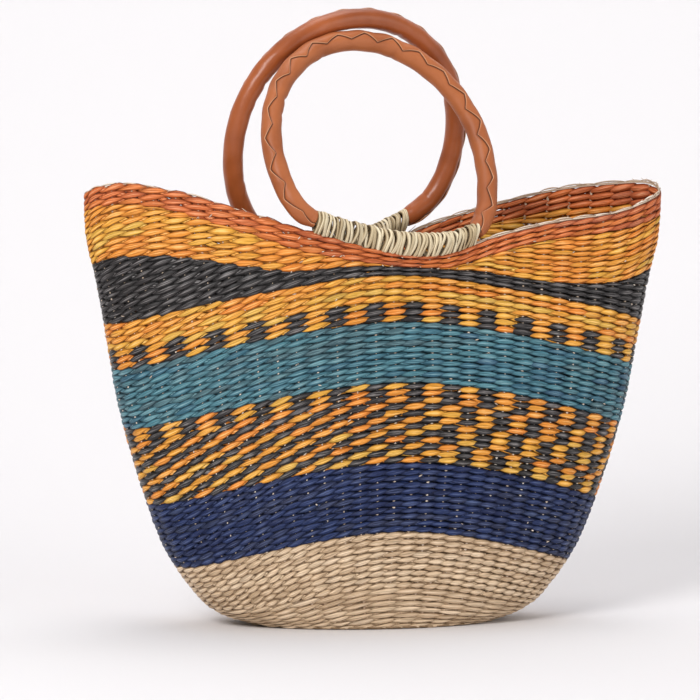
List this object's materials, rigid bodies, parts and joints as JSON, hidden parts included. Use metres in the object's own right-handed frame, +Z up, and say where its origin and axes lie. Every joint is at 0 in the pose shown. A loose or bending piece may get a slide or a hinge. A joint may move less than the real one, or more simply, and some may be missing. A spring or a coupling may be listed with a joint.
{
  "type": "straw basket bag",
  "caption": "Woven seagrass tote with a boat-shaped mouth, an oval flat base and two leather covered ring handles lashed to the rim.",
  "frame": {"origin": "middle of the underside of the flat base, on the surface the bag stands on", "axes": "+Z up out of the mouth, +X to the right along the mouth seen from the front, front towards -Y"},
  "size_m": [0.4478, 0.1464, 0.455],
  "materials": {
    "straw_natural": "matte",
    "straw_navy": "matte",
    "straw_teal": "matte",
    "straw_ochre": "matte",
    "straw_black": "matte",
    "straw_rust": "matte",
    "straw_edge": "matte",
    "cord_natural": "matte",
    "leather_tan": "satin",
    "rattan": "matte"
  },
  "bodies": {
    "root": {"basket_body": "straw_natural", "rim_border": "straw_edge", "handle_core_front": "rattan", "handle_core_back": "rattan", "handle_leather_front": "leather_tan", "handle_leather_back": "leather_tan", "lashing_front": "cord_natural", "lashing_back": "cord_natural"}
  },
  "joints": []
}
